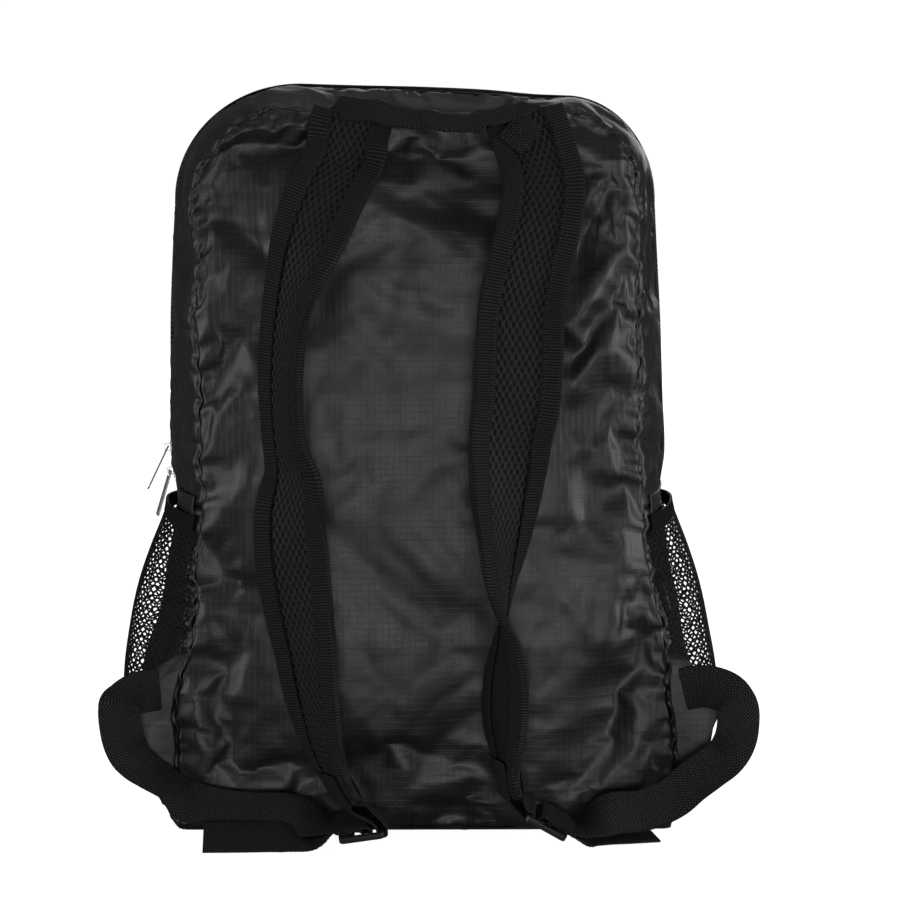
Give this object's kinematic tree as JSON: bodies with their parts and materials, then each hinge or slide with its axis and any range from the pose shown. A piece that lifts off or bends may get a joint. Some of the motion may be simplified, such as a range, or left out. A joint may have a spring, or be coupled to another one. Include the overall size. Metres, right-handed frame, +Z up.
{
  "type": "packable backpack",
  "caption": "Black packable daypack standing on its base, harness side forward, with air mesh shoulder straps, net side pockets, a top zip with two metal sliders and a haul handle",
  "frame": {"origin": "middle of the base, on the surface that the pack stands on, under the zip's arch", "axes": "+Z up, +Y towards the plain front panel, so the shoulder straps face -Y, and +X to the right for someone who looks at the straps"},
  "size_m": [0.3844, 0.206, 0.4395],
  "materials": {
    "ripstop_cloth": "fine ripstop weave with a soft sheen",
    "zip_tape_cloth": "woven tape",
    "zip_coil": "satin",
    "air_mesh": "open honeycomb knit",
    "binding_tape": "ribbed",
    "webbing": "ribbed",
    "net": "open knit",
    "moulded_plastic": "satin",
    "plated_metal": "polished"
  },
  "bodies": {
    "bag": {"back_panel": "ripstop_cloth", "front_panel": "ripstop_cloth", "gusset_back": "ripstop_cloth", "gusset_front": "ripstop_cloth", "side_panel_left": "ripstop_cloth", "side_panel_right": "ripstop_cloth", "bottom_panel": "ripstop_cloth", "wing_left": "ripstop_cloth", "wing_right": "ripstop_cloth", "zip_end_patch_left": "ripstop_cloth", "zip_end_patch_right": "ripstop_cloth", "zip_tape": "zip_tape_cloth", "zip_chain": "zip_coil", "strap_pad_left": "air_mesh", "strap_pad_right": "air_mesh", "strap_binding_left_inner": "binding_tape", "strap_binding_left_outer": "binding_tape", "strap_binding_right_inner": "binding_tape", "strap_binding_right_outer": "binding_tape", "pocket_elastic_left": "binding_tape", "pocket_elastic_right": "binding_tape", "strap_end_loop_left": "webbing", "strap_end_loop_right": "webbing", "adjust_webbing_left": "webbing", "adjust_webbing_right": "webbing", "haul_handle": "webbing", "pocket_net_left": "net", "pocket_net_right": "net", "ladder_lock_left": "moulded_plastic", "ladder_lock_right": "moulded_plastic", "zip_slider_upper": "plated_metal", "zip_slider_lower": "plated_metal"},
    "upper_pull": {"zip_pull_upper": "plated_metal"},
    "lower_pull": {"zip_pull_lower": "plated_metal"}
  },
  "joints": [
    {"name": "upper_pull_swing", "type": "hinge", "parent": "bag", "child": "upper_pull", "pos_m": [-0.15262, 0.00005, 0.22101], "axis": [0.1985, -0.9087, 0.3672], "range_deg": [-145, 0]},
    {"name": "lower_pull_swing", "type": "hinge", "parent": "bag", "child": "lower_pull", "pos_m": [-0.15113, 0.00004, 0.20661], "axis": [0.2379, -0.9682, -0.0768], "range_deg": [-50, 0]}
  ]
}
